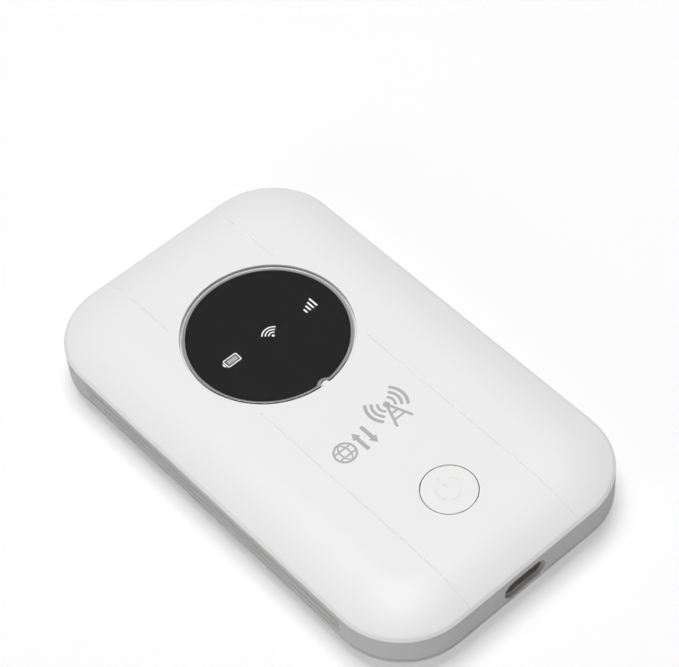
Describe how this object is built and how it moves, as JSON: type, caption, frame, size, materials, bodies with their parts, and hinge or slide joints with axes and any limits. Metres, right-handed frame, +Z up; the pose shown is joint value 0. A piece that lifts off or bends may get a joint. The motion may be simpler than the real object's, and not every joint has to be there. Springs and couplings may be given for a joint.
{
  "type": "mobile hotspot",
  "caption": "Pocket mobile hotspot: rounded white case, round dark status window, power button, charging socket, removable back cover and battery, SIM card holder and circuit board.",
  "frame": {"origin": "centre of the underside, on the surface the hotspot lies on", "axes": "+Z up through the status window, +Y along the length towards the status window's end, -Y towards the charging socket, +X to the right when the window's symbols are upright"},
  "size_m": [0.058, 0.097, 0.0128],
  "materials": {
    "white_case": "satin white moulded plastic",
    "button_cap": "satin white moulded plastic with a printed power symbol",
    "clear_lens": "polished clear acrylic",
    "black_mask": "black printed film",
    "grey_tape": "double-sided tape",
    "milky_film": "light diffusing film",
    "black_plastic": "black moulded plastic",
    "led_body": "moulded light-emitting diode",
    "board": "green solder mask on glass laminate",
    "steel_can": "tinned pressed steel",
    "chip_epoxy": "moulded epoxy",
    "socket_steel": "nickel-plated steel",
    "gold_contact": "gold-plated spring alloy",
    "sim_plastic": "white card plastic",
    "battery_wrap": "wrapped aluminium battery pouch",
    "screw_steel": "plated steel"
  },
  "bodies": {
    "case": {"front_shell": "white_case", "rear_housing": "white_case", "lens_tape": "grey_tape", "display_mask": "black_mask", "display_lens": "clear_lens", "light_shield": "black_plastic", "light_diffuser": "milky_film", "led_battery": "led_body", "led_wireless": "led_body", "led_signal": "led_body", "power_switch_body": "steel_can", "main_board": "board", "baseband_shield": "steel_can", "radio_shield": "steel_can", "baseband_chip": "chip_epoxy", "radio_chip": "chip_epoxy", "power_amplifier": "chip_epoxy", "memory_chip": "chip_epoxy", "charger_chip": "chip_epoxy", "crystal": "steel_can", "inductor": "chip_epoxy", "socket_shell": "socket_steel", "socket_tongue": "black_plastic", "sim_holder": "steel_can", "sim_base": "black_plastic", "reset_switch_body": "steel_can", "contact_block": "black_plastic", "contact_spring_1": "gold_contact", "contact_spring_2": "gold_contact", "contact_spring_3": "gold_contact", "main_antenna": "gold_contact", "diversity_antenna": "gold_contact", "wireless_antenna": "gold_contact", "case_screw_1": "screw_steel", "case_screw_2": "screw_steel", "case_screw_3": "screw_steel", "case_screw_4": "screw_steel"},
    "cover": {"back_cover": "white_case"},
    "battery": {"battery_cell": "battery_wrap", "battery_cap": "black_plastic", "battery_contact_1": "gold_contact", "battery_contact_2": "gold_contact", "battery_contact_3": "gold_contact"},
    "power_key": {"power_button": "button_cap"},
    "power_plunger": {"power_switch_plunger": "black_plastic"},
    "sim": {"sim_card": "sim_plastic"},
    "reset_key": {"reset_plunger": "black_plastic"}
  },
  "joints": [
    {"name": "cover_lift_off", "type": "slide", "parent": "case", "child": "cover", "axis": [0, 0, -1], "range_m": [0, 0.03]},
    {"name": "battery_lift_out", "type": "slide", "parent": "case", "child": "battery", "axis": [0, 0, -1], "range_m": [0, 0.015]},
    {"name": "power_press", "type": "slide", "parent": "case", "child": "power_key", "axis": [0, 0, -1], "range_m": [0, 0.0003], "stiffness_N_per_m": 600},
    {"name": "power_plunger_press", "type": "slide", "parent": "case", "child": "power_plunger", "axis": [0, 0, -1], "range_m": [0, 0.0003]},
    {"name": "sim_slide", "type": "slide", "parent": "case", "child": "sim", "axis": [-1, 0, 0], "range_m": [0, 0.012]},
    {"name": "reset_press", "type": "slide", "parent": "case", "child": "reset_key", "axis": [0, 0, 1], "range_m": [0, 0.00025], "stiffness_N_per_m": 300}
  ],
  "couplings": [
    {"joint": "battery_lift_out", "follows": "cover_lift_off", "ratio": 0.5},
    {"joint": "power_plunger_press", "follows": "power_press", "ratio": 1}
  ]
}
